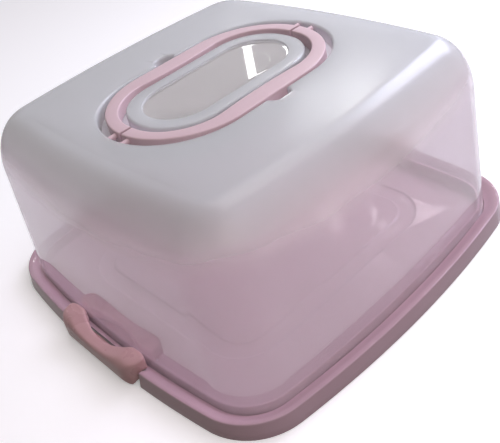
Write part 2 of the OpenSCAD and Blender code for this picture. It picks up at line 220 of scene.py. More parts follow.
# name, operation, first value, second value: the distance of a ring from the centre, in the
# direction of the column, whose cosine and sine are c and s
RING_MATHS: tuple[tuple[str, str, str | float, str | float], ...] = (
    ("c", "COSINE", "angle", 0.0),
    ("s", "SINE", "angle", 0.0),
    ("u", "ABSOLUTE", "c", 0.0),
    ("v", "ABSOLUTE", "s", 0.0),
    # distance to the side at X, an arc of radius bow about (half_x - bow, 0)
    ("ax", "SUBTRACT", "half_x", "bow"),
    ("axv", "MULTIPLY", "ax", "v"),
    ("axv2", "MULTIPLY", "axv", "axv"),
    ("bow2", "MULTIPLY", "bow", "bow"),
    ("px2", "SUBTRACT", "bow2", "axv2"),
    ("px", "SQRT", "px2", 0.0),
    ("axu", "MULTIPLY", "ax", "u"),
    ("side_x", "ADD", "axu", "px"),
    # distance to the side at Y
    ("ay", "SUBTRACT", "half_y", "bow"),
    ("ayu", "MULTIPLY", "ay", "u"),
    ("ayu2", "MULTIPLY", "ayu", "ayu"),
    ("py2", "SUBTRACT", "bow2", "ayu2"),
    ("py", "SQRT", "py2", 0.0),
    ("ayv", "MULTIPLY", "ay", "v"),
    ("side_y", "ADD", "ayv", "py"),
    ("side", "MINIMUM", "side_x", "side_y"),
    # distance to the corner arc
    ("cxv", "MULTIPLY", "cx", "v"),
    ("cyu", "MULTIPLY", "cy", "u"),
    ("off", "SUBTRACT", "cxv", "cyu"),
    ("off2", "MULTIPLY", "off", "off"),
    ("cr2", "MULTIPLY", "corner", "corner"),
    ("pc2", "SUBTRACT", "cr2", "off2"),
    ("pc2c", "MAXIMUM", "pc2", 0.0),
    ("pc", "SQRT", "pc2c", 0.0),
    ("cxu", "MULTIPLY", "cx", "u"),
    ("cyv", "MULTIPLY", "cy", "v"),
    ("along", "ADD", "cxu", "cyv"),
    ("round", "ADD", "along", "pc"),
    # 1 where the column lies between the corner's two tangents
    ("t1xv", "MULTIPLY", "t1x", "v"),
    ("t1yu", "MULTIPLY", "t1y", "u"),
    ("past", "GREATER_THAN", "t1xv", "t1yu"),
    ("t2xv", "MULTIPLY", "t2x", "v"),
    ("t2yu", "MULTIPLY", "t2y", "u"),
    ("before", "LESS_THAN", "t2xv", "t2yu"),
    ("in_corner", "MULTIPLY", "past", "before"),
    ("more", "SUBTRACT", "round", "side"),
    ("more_here", "MULTIPLY", "more", "in_corner"),
    ("plain", "ADD", "side", "more_here"),
    # the long sides bulge inwards by squeeze * (1 - (x / squeeze_half)^2)
    ("x_at", "MULTIPLY", "plain", "u"),
    ("x_share", "DIVIDE", "x_at", "squeeze_half"),
    ("x_share2", "MULTIPLY", "x_share", "x_share"),
    ("bulge1", "SUBTRACT", 1.0, "x_share2"),
    ("bulge2", "MAXIMUM", "bulge1", 0.0),
    ("bulge", "MULTIPLY", "bulge2", "squeeze"),
    ("v_safe", "MAXIMUM", "v", 0.05),
    ("bulge_r", "DIVIDE", "bulge", "v_safe"),
    ("squeezed", "SUBTRACT", "plain", "bulge_r"),
    # the scoop, an arc of radius scoop_r about (0, scoop_y)
    ("su", "MULTIPLY", "scoop_y", "u"),
    ("su2", "MULTIPLY", "su", "su"),
    ("sr2", "MULTIPLY", "scoop_r", "scoop_r"),
    ("ps2", "SUBTRACT", "sr2", "su2"),
    ("has", "GREATER_THAN", "ps2", 0.0),
    ("ps2c", "MAXIMUM", "ps2", 0.0),
    ("ps", "SQRT", "ps2c", 0.0),
    ("sv", "MULTIPLY", "scoop_y", "v"),
    ("far", "ADD", "sv", "ps"),
    ("far_here", "MULTIPLY", "far", "has"),
    ("reach", "MAXIMUM", "squeezed", "far_here"),
    ("radius", "MULTIPLY", "reach", "scale"),
    ("x", "MULTIPLY", "radius", "c"),
    ("y", "MULTIPLY", "radius", "s"),
)

# what each station carries: an attribute of three numbers, named here one by one
STATION_FIELDS: dict[str, tuple[str, str, str]] = {
    "sides": ("half_x", "half_y", "bow"),
    "corner_arc": ("cx", "cy", "corner"),
    "first_tangent": ("t1x", "t1y", "squeeze"),
    "second_tangent": ("t2x", "t2y", "squeeze_half"),
    "level": ("z", "scale", "spare"),
    "scoop": ("scoop_y", "scoop_r", "spare"),
}


class RingLoft:
    """Lofts rings of bowed outlines about the Z axis with a Geometry Nodes tree."""

    def __init__(self, columns: int = 480) -> None:
        """Builds the tree, with columns points round a full turn."""
        self.columns = columns
        self.tree = self._build()

    def _build(self) -> bpy.types.NodeTree:
        """Makes the tree: a grid of columns by stations, each point moved to its place."""
        tree = bpy.data.node_groups.new("Ring loft", "GeometryNodeTree")
        face = tree.interface
        face.new_socket("Stations", in_out="INPUT", socket_type="NodeSocketGeometry")
        for name, kind in (
            ("Columns", "NodeSocketInt"),
            ("Start angle", "NodeSocketFloat"),
            ("Sweep angle", "NodeSocketFloat"),
            ("Material", "NodeSocketMaterial"),
        ):
            face.new_socket(name, in_out="INPUT", socket_type=kind)
        face.new_socket("Shell", in_out="OUTPUT", socket_type="NodeSocketGeometry")
        given = add_node(tree, "NodeGroupInput").outputs
        size = add_node(
            tree, "GeometryNodeAttributeDomainSize", {"component": "MESH"}, {0: given["Stations"]}
        )
        rows = size.outputs["Point Count"]
        across = add_node(
            tree, "ShaderNodeMath", {"operation": "ADD"}, {0: given["Columns"], 1: 1.0}
        )
        grid = add_node(
            tree,
            "GeometryNodeMeshGrid",
            None,
            {"Vertices X": across.outputs[0], "Vertices Y": rows},
        )
        index = add_node(tree, "GeometryNodeInputIndex").outputs[0]
        row = add_node(tree, "ShaderNodeMath", {"operation": "MODULO"}, {0: index, 1: rows})
        part = add_node(tree, "ShaderNodeMath", {"operation": "DIVIDE"}, {0: index, 1: rows})
        column = add_node(tree, "ShaderNodeMath", {"operation": "FLOOR"}, {0: part.outputs[0]})
        share = add_node(
            tree,
            "ShaderNodeMath",
            {"operation": "DIVIDE"},
            {0: column.outputs[0], 1: given["Columns"]},
        )
        turned = add_node(
            tree,
            "ShaderNodeMath",
            {"operation": "MULTIPLY_ADD"},
            {0: share.outputs[0], 1: given["Sweep angle"], 2: given["Start angle"]},
        )
        values: dict[str, bpy.types.NodeSocket] = {"angle": turned.outputs[0]}
        for attribute, names in STATION_FIELDS.items():
            read = add_node(
                tree,
                "GeometryNodeInputNamedAttribute",
                {"data_type": "FLOAT_VECTOR"},
                {"Name": attribute},
            )
            taken = add_node(
                tree,
                "GeometryNodeSampleIndex",
                {"data_type": "FLOAT_VECTOR", "domain": "POINT"},
                {0: given["Stations"], "Value": read.outputs[0], "Index": row.outputs[0]},
            )
            split = add_node(tree, "ShaderNodeSeparateXYZ", None, {0: taken.outputs[0]})
            values.update(zip(names, split.outputs))
        for name, operation, a, b in RING_MATHS:
            maths = add_node(
                tree,
                "ShaderNodeMath",
                {"operation": operation},
                {0: values.get(a, a), 1: values.get(b, b)},
            )
            values[name] = maths.outputs[0]
        place = add_node(
            tree,
            "ShaderNodeCombineXYZ",
            None,
            {"X": values["x"], "Y": values["y"], "Z": values["z"]},
        )
        moved = add_node(
            tree,
            "GeometryNodeSetPosition",
            None,
            {"Geometry": grid.outputs["Mesh"], "Position": place.outputs[0]},
        )
        merged = add_node(
            tree,
            "GeometryNodeMergeByDistance",
            None,
            {"Geometry": moved.outputs[0], "Distance": 2e-6},
        )
        smooth = add_node(tree, "GeometryNodeSetShadeSmooth", None, {0: merged.outputs[0]})
        real = add_node(tree, "GeometryNodeRealizeInstances", None, {0: smooth.outputs[0]})
        dressed = add_node(
            tree,
            "GeometryNodeSetMaterial",
            None,
            {"Geometry": real.outputs[0], "Material": given["Material"]},
        )
        add_node(tree, "NodeGroupOutput", None, {"Shell": dressed.outputs[0]})
        return tree

    def make(
        self,
        name: str,
        stations: list[Station],
        material: bpy.types.Material,
        start: float = 0.0,
        sweep: float = math.tau,
    ) -> bpy.types.Object:
        """Lofts one shell.

        Args:
            name: name of the new piece.
            stations: its rings, in order along the surface.
            material: its finish.
            start: angle of the first column, in radians.
            sweep: how far round the columns go, in radians.

        Returns:
            The piece, a plain mesh in metres.
        """
        mesh = bpy.data.meshes.new(f"{name}_stations")
        mesh.from_pydata([(0.0, 0.0, s.z * MM) for s in stations], [], [])
        for attribute, names in STATION_FIELDS.items():
            layer = mesh.attributes.new(attribute, "FLOAT_VECTOR", "POINT")
            rows = [[self._fields(s).get(n, 0.0) for n in names] for s in stations]
            layer.data.foreach_set("vector", np.array(rows, dtype=np.float32).ravel())
        seed = bpy.data.objects.new(f"{name}_seed", mesh)
        bpy.context.scene.collection.objects.link(seed)
        modifier = seed.modifiers.new("Ring loft", "NODES")
        modifier.node_group = self.tree
        wanted = {
            "Columns": round(self.columns * sweep / math.tau),
            "Start angle": start,
            "Sweep angle": sweep,
            "Material": material,
        }
        for item in self.tree.interface.items_tree:
            if item.item_type == "SOCKET" and item.in_out == "INPUT" and item.name in wanted:
                modifier[item.identifier] = wanted[item.name]
        shell = plain_mesh(seed, name)
        bpy.data.objects.remove(seed)
        bpy.data.meshes.remove(mesh)
        return shell

    @staticmethod
    def _fields(station: Station) -> dict[str, float]:
        """The numbers of a station by name, in metres."""
        o = station.outline
        cx, cy = o.corner_centre()
        (t1x, t1y), (t2x, t2y) = o.tangents()
        lengths = {
            "half_x": o.half_x, "half_y": o.half_y, "bow": o.bow, "cx": cx, "cy": cy,
            "corner": o.corner, "t1x": t1x, "t1y": t1y, "t2x": t2x, "t2y": t2y,
            "squeeze": o.squeeze, "squeeze_half": o.squeeze_half, "z": station.z,
            "scoop_y": station.scoop_y, "scoop_r": station.scoop_r,
        }
        fields = {name: value * MM for name, value in lengths.items()}
        fields["scale"] = station.scale
        return fields


# ---- mesh helpers ---------------------------------------------------------------------------


def plain_mesh(source: bpy.types.Object, name: str) -> bpy.types.Object:
    """The evaluated shape of an object as a new object with a plain mesh.

    Args:
        source: the object with its modifiers.
        name: name of the new object.

    Returns:
        The new object, linked to the scene.
    """
    graph = bpy.context.evaluated_depsgraph_get()
    graph.update()
    mesh = bpy.data.meshes.new_from_object(source.evaluated_get(graph), depsgraph=graph)
    mesh.name = name
    made = bpy.data.objects.new(name, mesh)
    bpy.context.scene.collection.objects.link(made)
    return made


def face_outwards(mesh: bpy.types.Mesh) -> None:
    """Makes the faces of a closed mesh point outwards."""
    work = bmesh.new()
    work.from_mesh(mesh)
    if work.calc_volume(signed=True) < 0:
        bmesh.ops.reverse_faces(work, faces=work.faces[:])
    work.to_mesh(mesh)
    work.free()


def cut(piece: bpy.types.Object, cutter: bpy.types.Object) -> bpy.types.Object:
    """Cuts one piece with another and removes both.

    Args:
        piece: what is cut.
        cutter: what cuts it.

    Returns:
        The cut piece, with the name that piece had.
    """
    name = piece.name
    modifier = piece.modifiers.new("Cut", "BOOLEAN")
    modifier.operation, modifier.solver, modifier.object = "DIFFERENCE", "EXACT", cutter
    piece.name = f"{name}_whole"
    made = plain_mesh(piece, name)
    for old in (piece, cutter):
        bpy.data.objects.remove(old)
    return made


def soften(mesh: bpy.types.Mesh, degrees: float = 35.0) -> None:
    """Shades a mesh smooth, apart from edges sharper than that."""
    mesh.shade_smooth()
    mesh.set_sharp_from_angle(angle=math.radians(degrees))


def dress(piece: bpy.types.Object, finish: bpy.types.Material) -> None:
    """Gives every face of a piece the same finish."""
    piece.data.materials.clear()
    piece.data.materials.append(finish)
    piece.data.polygons.foreach_set("material_index", [0] * len(piece.data.polygons))


def block(name: str, low: Vector, high: Vector) -> bpy.types.Object:
    """A box between two corners in mm, to cut with."""
    work = bmesh.new()
    bmesh.ops.create_cube(work, size=1.0)
    size, middle = (high - low) * MM, (high + low) / 2 * MM
    bmesh.ops.transform(
        work, matrix=Matrix.Translation(middle) @ Matrix.Diagonal((*size, 1)), verts=work.verts
    )
    mesh = bpy.data.meshes.new(name)
    work.to_mesh(mesh)
    work.free()
    made = bpy.data.objects.new(name, mesh)
    bpy.context.scene.collection.objects.link(made)
    return made


def add_pin(
    work: bmesh.types.BMesh, start: Vector, axis: Vector, length: float, radius: float
) -> None:
    """Adds a closed pin with a chamfered tip to a mesh that is being built.

    Args:
        work: the mesh, in metres.
        start: centre of the pin's root, in mm.
        axis: direction of the pin.
        length: its length, in mm.
        radius: its radius, in mm.
    """
    turn = axis.to_track_quat("Z", "Y").to_matrix()
    rings = []
    shank = length - PIN_CHAMFER
    for along, r in ((0, radius), (shank, radius), (length, radius - PIN_CHAMFER)):
        ring = []
        for k in range(PIN_SIDES):
            a = math.tau * k / PIN_SIDES
            spot = start + turn @ Vector((r * math.cos(a), r * math.sin(a), along))
            ring.append(work.verts.new(spot * MM))
        rings.append(ring)
    for a, b in zip(rings, rings[1:]):
        for k in range(PIN_SIDES):
            n = (k + 1) % PIN_SIDES
            work.faces.new((a[k], a[n], b[n], b[k]))
    work.faces.new(rings[0][::-1])
    work.faces.new(rings[-1])


def smooth_copy(
    source: bpy.types.Object, name: str, voxel: float, rounds: int, soft_rounds: int, soft_z: float
) -> bpy.types.Object:
    """A copy of a CAD node whose edges are rounded as a moulding's are.

    Args:
        source: the CAD node.
        name: name of the copy.
        voxel: size of the steps that it is remeshed with, in mm.
        rounds: how often it is smoothed all over.
        soft_rounds: how often its upper part is smoothed after that.
        soft_z: height above which it is smoothed more, in mm.

    Returns:
        The copy, a plain mesh.
    """
    mesh = source.data.copy()
    work = bmesh.new()
    work.from_mesh(mesh)
    bmesh.ops.remove_doubles(work, verts=work.verts, dist=1e-6)
    work.to_mesh(mesh)
    work.free()
    copy = bpy.data.objects.new(f"{name}_rough", mesh)
    bpy.context.scene.collection.objects.link(copy)
    remesh = copy.modifiers.new("Remesh", "REMESH")
    remesh.mode, remesh.voxel_size, remesh.adaptivity = "VOXEL", voxel * MM, 0.0
    relax = copy.modifiers.new("Relax", "SMOOTH")
    relax.factor, relax.iterations = 0.5, rounds
    firm = plain_mesh(copy, f"{name}_firm")
    upper = firm.vertex_groups.new(name="Upper")
    for vertex in firm.data.vertices:
        weight = min(max((vertex.co.z / MM - soft_z) / SOFT_BLEND, 0.0), 1.0)
        if weight > 0:
            upper.add([vertex.index], weight, "REPLACE")
    soft = firm.modifiers.new("Soften", "SMOOTH")
    soft.factor, soft.iterations, soft.vertex_group = 0.5, soft_rounds, upper.name
    made = plain_mesh(firm, name)
    for old in (copy, firm):
        bpy.data.objects.remove(old)
    return made


# ---- finishes -------------------------------------------------------------------------------


def linear(hex_colour: str) -> tuple[float, float, float, float]:
    """An sRGB colour such as "#d9b7c0" as linear RGBA."""
    parts = [int(hex_colour[i : i + 2], 16) / 255 for i in (1, 3, 5)]
    return (*[p / 12.92 if p <= 0.04045 else ((p + 0.055) / 1.055) ** 2.4 for p in parts], 1.0)


@dataclass(frozen=True)
class MouldedPolypropylene:
    """Opaque coloured polypropylene, injection moulded: smooth, faintly cloudy, a little waxy.

    colour and shade are the two tones of its clouds. The gloss varies about roughness, and bump
    is the strength of the mould's texture.
    """

    name: str
    colour: str
    shade: str
    roughness: float
    bump: float

    def build(self) -> bpy.types.Material:
        """Makes the material."""
        material = bpy.data.materials.new(self.name)
        material.use_nodes = True
        tree = material.node_tree
        tree.nodes.clear()
        place = add_node(tree, "ShaderNodeTexCoord").outputs["Object"]
        # broad flow clouds of the melt, about 40 mm across
        cloud = add_node(
            tree, "ShaderNodeTexNoise", None, {"Vector": place, "Scale": 25.0, "Detail": 3.0}
        )
        tone = add_node(
            tree,
            "ShaderNodeMix",
            {"data_type": "RGBA"},
            {0: cloud.outputs[0], 6: linear(self.shade), 7: linear(self.colour)},
        )
        # fine mould texture; the real grain of about 0.1 mm is drawn at 0.6 mm so that it shows
        grain = add_node(
            tree, "ShaderNodeTexNoise", None, {"Vector": place, "Scale": 1600.0, "Detail": 2.0}
        )
        # handling wear changes the gloss in patches of about 15 mm
        wear = add_node(
            tree, "ShaderNodeTexNoise", None, {"Vector": place, "Scale": 65.0, "Detail": 4.0}
        )
        rough = add_node(
            tree,
            "ShaderNodeMapRange",
            None,
            {0: wear.outputs[0], 3: self.roughness * 0.75, 4: self.roughness * 1.3},
        )
        bump = add_node(
            tree,
            "ShaderNodeBump",
            None,
            {"Strength": self.bump, "Distance": 0.0002, "Height": grain.outputs[0]},
        )
        shader = add_node(
            tree,
            "ShaderNodeBsdfPrincipled",
            None,
            {
                "Base Color": tone.outputs[2],
                "Roughness": rough.outputs[0],
                "Normal": bump.outputs[0],
                "IOR": PLASTIC_IOR,
            },
        )
        add_node(tree, "ShaderNodeOutputMaterial", None, {0: shader.outputs[0]})
        return material


@dataclass(frozen=True)
class FrostedPolypropylene:
    """Natural polypropylene, clear and glossy low on the walls, etched to a frost above them.

    The colours are those of the clear wall, of the frost on top, of the frost's lower edge on
    the shoulder, which is near-white as a painted glow, and of the window's pane, which is grey
    as painted shade of the dim inside seen through it. frost_z is the height of the frost line,
    frost_band the width over which it fades, wander how far it drifts, corner_rise how much
    higher it lies at corner_reach from mid side, dense_z the height above which the frost
    thickens and window the half sizes of the clear oval in the top, all in mm. The values named
    through are the share of the light that passes one surface, less haze at a slant, and
    grain_rough is what the grain adds to the gloss.
    """

    name: str
    clear: str = "#ece6ea"
    frost: str = "#ced0d1"
    # near-white tone of the frost's lower edge: a painted glow on the shoulder
    shoulder: str = "#f4eff0"
    frost_z: float = 105.0
    frost_band: float = 24.0
    wander: float = 6.0
    corner_rise: float = 15.0
    corner_reach: float = 118.0
    dense_z: float = 113.0
    top_z: float = 138.0
    clear_through: float = 0.83
    shoulder_through: float = 0.7
    top_through: float = 0.5
    haze: float = 0.06
    clear_rough: float = 0.03
    shoulder_rough: float = 0.12
    top_rough: float = 0.22
    grain_rough: float = 0.04
    # grey tone of the window's pane: painted shade of the dim inside seen through the clear window
    pane: str = "#c6c6c2"
    window: tuple[float, float] = (57.5, 26.0)

    def _masks(self, tree: bpy.types.NodeTree) -> tuple[bpy.types.NodeSocket, bpy.types.NodeSocket]:
        """The share of frost at a point, 0 in the oval window, and 1 outside that window."""
        place = add_node(tree, "ShaderNodeTexCoord").outputs["Object"]
        # the frost line drifts, in waves of about 33 mm
        drift = add_node(
            tree, "ShaderNodeTexNoise", None, {"Vector": place, "Scale": 30.0, "Detail": 0.0}
        )
        axes = add_node(tree, "ShaderNodeSeparateXYZ", None, {0: place})
        half_l, half_w = (v * MM for v in self.window)
        values: dict[str, bpy.types.NodeSocket] = dict(zip("xyz", axes.outputs))
        values["drift"] = drift.outputs[0]
        for name, operation, *given in (
            # the frost line climbs towards the corners, by the square of the way from mid side
            ("wide", "ABSOLUTE", "x"),
            ("deep", "ABSOLUTE", "y"),
            ("aside", "MINIMUM", "wide", "deep"),
            ("share", "DIVIDE", "aside", self.corner_reach * MM),
            ("squared", "POWER", "share", 2.0),
            ("lowered", "MULTIPLY_ADD", "squared", -self.corner_rise * MM, "z"),
            ("wobble", "MULTIPLY_ADD", "drift", self.wander * MM, "lowered"),
            # the window's oval is a stadium along the X axis
            ("past", "SUBTRACT", "wide", half_l - half_w),
            ("end", "MAXIMUM", "past", 0.0),
        ):
            maths = add_node(
                tree,
                "ShaderNodeMath",
                {"operation": operation},
                {k: values.get(v, v) for k, v in enumerate(given)},
            )
            values[name] = maths.outputs[0]
        low, high = self.frost_z - self.frost_band / 2, self.frost_z + self.frost_band / 2
        risen = add_node(
            tree,
            "ShaderNodeMapRange",
            {"interpolation_type": "SMOOTHSTEP"},
            {0: values["wobble"], 1: low * MM, 2: high * MM},
        )
        spoke = add_node(tree, "ShaderNodeCombineXYZ", None, {"X": values["end"], "Y": values["y"]})
        distance = add_node(
            tree, "ShaderNodeVectorMath", {"operation": "LENGTH"}, {0: spoke.outputs[0]}
        )
        # the edge of the window is 0.8 mm wide
        outside = add_node(
            tree,
            "ShaderNodeMapRange",
            {"interpolation_type": "SMOOTHSTEP"},
            {0: distance.outputs["Value"], 1: half_w - 0.6 * MM, 2: half_w + 0.2 * MM},
        )
        both = add_node(
            tree,
            "ShaderNodeMath",
            {"operation": "MULTIPLY"},
            {0: risen.outputs[0], 1: outside.outputs[0]},
        )
        return both.outputs[0], outside.outputs[0]

    def build(self) -> bpy.types.Material:
        """Makes the material."""
        material = bpy.data.materials.new(self.name)
        material.use_nodes = True
        tree = material.node_tree
        tree.nodes.clear()
        frosted, outside = self._masks(tree)
        place = add_node(tree, "ShaderNodeTexCoord").outputs["Object"]
        height = add_node(tree, "ShaderNodeSeparateXYZ", None, {0: place}).outputs["Z"]
        # the frost gets denser, duller and greyer from its lower edge to the top; the near-white
        # tone at its lower edge is a painted glow on the shoulder
        risen = add_node(
            tree, "ShaderNodeMapRange", None, {0: height, 1: self.dense_z * MM, 2: self.top_z * MM}
        )
        milk_and_painted_glow = add_node(
            tree,
            "ShaderNodeMix",
            {"data_type": "RGBA"},
            {0: risen.outputs[0], 6: linear(self.shoulder), 7: linear(self.frost)},
        )
        # the window's pane takes a grey tone, painted shade of the inside seen through it; the rest
        # of the wall keeps the clear tint
        clear_and_shaded_pane = add_node(
            tree,
            "ShaderNodeMix",
            {"data_type": "RGBA"},
            {0: outside, 6: linear(self.pane), 7: linear(self.clear)},
        )
        tint = add_node(
            tree,
            "ShaderNodeMix",
            {"data_type": "RGBA"},
            {0: frosted, 6: clear_and_shaded_pane.outputs[2], 7: milk_and_painted_glow.outputs[2]},
        )
        dense = add_node(
            tree,
            "ShaderNodeMapRange",
            None,
            {0: risen.outputs[0], 3: self.shoulder_through, 4: self.top_through},
        )
        # etched grain, about 1 mm across
        grain = add_node(
            tree, "ShaderNodeTexNoise", None, {"Vector": place, "Scale": 900.0, "Detail": 2.0}
        )
        even = add_node(
            tree,
            "ShaderNodeMapRange",
            None,
            {0: risen.outputs[0], 3: self.shoulder_rough, 4: self.top_rough},
        )
        matt = add_node(
            tree,
            "ShaderNodeMath",
            {"operation": "MULTIPLY_ADD"},
            {0: grain.outputs[0], 1: self.grain_rough, 2: even.outputs[0]},
        )
        rough = add_node(
            tree, "ShaderNodeMapRange", None, {0: frosted, 3: self.clear_rough, 4: matt.outputs[0]}
        )
        sheer = add_node(
            tree,
            "ShaderNodeMapRange",
            None,
            {0: frosted, 3: self.clear_through, 4: dense.outputs[0]},
        )
        # light that crosses the wall at a slant meets more of the milky plastic
        slant = add_node(tree, "ShaderNodeLayerWeight", None, {"Blend": 0.5})
        through = add_node(
            tree,
            "ShaderNodeMath",
            {"operation": "MULTIPLY_ADD"},
            {0: slant.outputs["Facing"], 1: -self.haze, 2: sheer.outputs[0]},
        )
        shader = add_node(
            tree,
            "ShaderNodeBsdfPrincipled",
            None,
            {
                "Base Color": tint.outputs[2],
                "Roughness": rough.outputs[0],
                "Transmission Weight": through.outputs[0],
                "IOR": PLASTIC_IOR,
            },
        )
        # lamps light what is behind the plastic: the tints that clear and frosted walls let by
        let_by = add_node(
            tree,
            "ShaderNodeMix",
            {"data_type": "RGBA"},
            {0: frosted, 6: (0.99, 0.98, 0.98, 1.0), 7: (0.94, 0.92, 0.93, 1.0)},
        )
        passing = add_node(tree, "ShaderNodeBsdfTransparent", None, {0: let_by.outputs[2]})
        path = add_node(tree, "ShaderNodeLightPath")
        shown = add_node(
            tree,
            "ShaderNodeMixShader",
            None,
            {0: path.outputs["Is Shadow Ray"], 1: shader.outputs[0], 2: passing.outputs[0]},
        )
        add_node(tree, "ShaderNodeOutputMaterial", None, {0: shown.outputs[0]})
        return material


@dataclass(frozen=True)
class Finishes:
    """The finishes of the whole carrier."""

    tray: bpy.types.Material
    handle: bpy.types.Material
    clip: bpy.types.Material
    lid: bpy.types.Material


# ---- sub-assemblies -------------------------------------------------------------------------


@dataclass(frozen=True)
class Clip:
    """Sizes of a clip and its hinge at the +X end, in mm, and of its smoothing.

    The arms of the tray's ears end arm_low below the hinge line and arm_high above it, and they
    reach in to arm_x.
    """

    half: float = 43.5
    gap: float = 0.6
    hinge_x: float = 147.6
    hinge_z: float = 7.0
    notch_x: float = 140.4
    pin_r: float = 1.5
    ear_y: float = 31.0
    ear_t: float = 3.2
    ear_r: float = 3.4
    arm_low: float = 1.8
    arm_high: float = 0.4
    arm_x: float = 138.6
    voxel: float = 0.45
    rounds: int = 5
    soft_rounds: int = 110
    soft_z: float = 8.5

    def build(self, nodes: dict[str, bpy.types.Object], finish: bpy.types.Material) -> None:
        """Makes both clips from their CAD nodes and puts them on their bodies."""
        for node, body in (("left_clip", "left_catch"), ("right_clip", "right_catch")):
            piece = smooth_copy(
                nodes[node],
                f"{node}_moulding",
                self.voxel,
                self.rounds,
                self.soft_rounds,
                self.soft_z,
            )
            dress(piece, finish)
            piece.data.shade_smooth()
            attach(piece, body)
            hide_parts(node)
            LOG.info("%s: %d faces", piece.name, len(piece.data.polygons))


@dataclass(frozen=True)
class Tray:
    """The tray: floor with its pressed groove, lip, foot groove, ledge and rim, in mm.

    groove_w and groove_d are the width and depth of the pressed groove. The lip stands lip_in
    inside the lid's outline, and the foot groove reaches foot_room outside it and foot_d deep.
    The floor steps up at step_in, and the underside is hollowed by base_h.
    """

    foot: Outline = Outline(150.0, 150.0, 46.0, 774.0)
    lid: Outline = Outline(137.0, 137.0, 36.5, 904.0)
    rim_h: float = 12.0
    ledge_h: float = 7.2
    floor_h: float = 3.2
    groove: Outline = Outline(101.5, 91.0, 33.0)
    groove_w: float = 11.5
    groove_d: float = 1.0
    step_in: float = 15.0
    lip_in: float = 3.2
    foot_room: float = 0.4
    foot_d: float = 3.0
    base_h: float = 1.2
    wall: float = 2.0

    def _floor(self) -> list[Station]:
        """Rings of the floor, from its centre to its edge."""
        z, low = self.floor_h, self.floor_h - self.groove_d
        inner = self.groove.inset(self.groove_w)
        rings = [Station(inner, z, scale) for scale in (0.0, 0.3, 0.6, 0.85)]
        rings += [Station(inner.inset(1.6), z), Station(inner.inset(0.9), z - 0.1)]
        rings += [Station(inner.inset(0.1), low + 0.25), Station(inner.inset(-0.7), low)]
        outer = self.groove
        rings += [Station(outer.inset(0.7), low), Station(outer.inset(-0.1), low + 0.25)]
        rings += [Station(outer.inset(-0.9), z - 0.1), Station(outer.inset(-1.6), z)]
        step = self.lid.inset(self.step_in)
        rings += [Station(step.inset(0.6), z), Station(step.inset(-0.6), z + 0.3)]
        return rings

    def _lip(self) -> list[Station]:
        """Rings of the lip and of the groove for the lid's foot."""
        inner = self.lid.inset(self.lip_in + self.wall)
        outer = self.lid.inset(self.lip_in)
        low = self.ledge_h - self.foot_d
        rings = fillet(inner, self.floor_h + 0.3, 3.0, (1, 0, 0, 1))
        rings += fillet(inner, self.rim_h, 0.8, (0, -1, -1, 0))
        rings += fillet(outer, self.rim_h, 0.8, (1, 0, 0, -1))
        rings += fillet(outer, low, 0.4, (0, 1, -1, 0))
        wall = self.lid.inset(-self.foot_room)
        rings += fillet(wall, low, 0.4, (1, 0, 0, 1))
        rings += fillet(wall, self.ledge_h, 0.5, (0, -1, -1, 0))
        return rings

    def _rim(self) -> list[Station]:
        """Rings of the ledge, the rounded rim, the outer wall and the foot."""
        foot = self.foot
        rows = ((12.2, 7.2), (11.2, 7.45), (8.9, 9.0), (6.6, 10.6), (5.6, 11.2), (4.6, 11.6),
                (3.6, 11.85), (3.0, 11.95), (2.6, 11.9), (2.35, 11.7), (2.2, 11.3), (2.05, 10.4),
                (1.0, 5.0), (0.15, 0.7), (0.3, 0.15), (0.8, 0.0))
        return [Station(foot.inset(i), z) for i, z in rows]

    def _underside(self) -> list[Station]:
        """Rings of the hollow under the rim and of the underside, to the centre."""
        foot, inner = self.foot, self.lid.inset(self.lip_in + self.wall + 2.0)
        rows = ((1.7, 0.0), (2.0, 0.4), (3.7, 9.0), (5.2, 9.6), (9.0, 6.6), (9.4, 6.0),
                (9.4, 0.4), (9.8, 0.0))
        rings = [Station(foot.inset(i), z) for i, z in rows]
        rings += fillet(inner, 0.0, 0.3, (-1, 0, 0, 1), 2)
        rings += fillet(inner, self.base_h, 0.3, (0, -1, 1, 0), 2)
        rings += [Station(inner, self.base_h, scale) for scale in (0.7, 0.35, 0.0)]
        return rings

    def _ear(self, work: bmesh.types.BMesh, clip: Clip, end: int, side: int) -> None:
        """Adds one ear with its bore: end picks the clip, side the ear."""
        steps, bore = 48, clip.pin_r + RUN_GAP
        angles = [math.tau * k / steps for k in range(steps)]
        outer = []
        for a in angles:
            dx, dz = math.cos(a), math.sin(a)
            reach = clip.ear_r
            if dx < 0:  # the arm that joins the ear to the tray
                tall = clip.arm_low if dz < 0 else clip.arm_high
                limit = min(tall / max(abs(dz), 1e-6), (clip.hinge_x - clip.arm_x) / -dx)
                reach = max(reach, limit)
            outer.append((dx * reach, dz * reach))
        inner = [(bore * math.cos(a), bore * math.sin(a)) for a in angles]
        faces = []
        for y in (clip.ear_y - clip.ear_t / 2, clip.ear_y + clip.ear_t / 2):
            loops = []
            for loop in (outer, inner):
                spots = [(end * (clip.hinge_x + x), side * y, clip.hinge_z + z) for x, z in loop]
                loops.append([work.verts.new([c * MM for c in spot]) for spot in spots])
            faces.append(loops)
        (o0, i0), (o1, i1) = faces
        for k in range(steps):
            n = (k + 1) % steps
            for quad in (
                (o0[k], o0[n], i0[n], i0[k]),
                (o1[n], o1[k], i1[k], i1[n]),
                (o0[n], o0[k], o1[k], o1[n]),
                (i0[k], i0[n], i1[n], i1[k]),
            ):
                work.faces.new(quad if end * side > 0 else quad[::-1])

    def build(self, loft: RingLoft, clip: Clip, finish: bpy.types.Material) -> None:
        """Makes the tray and puts it on its body."""
        rings = self._floor() + self._lip() + self._rim() + self._underside()
        shell = loft.make("tray_moulding", rings, finish)
        face_outwards(shell.data)
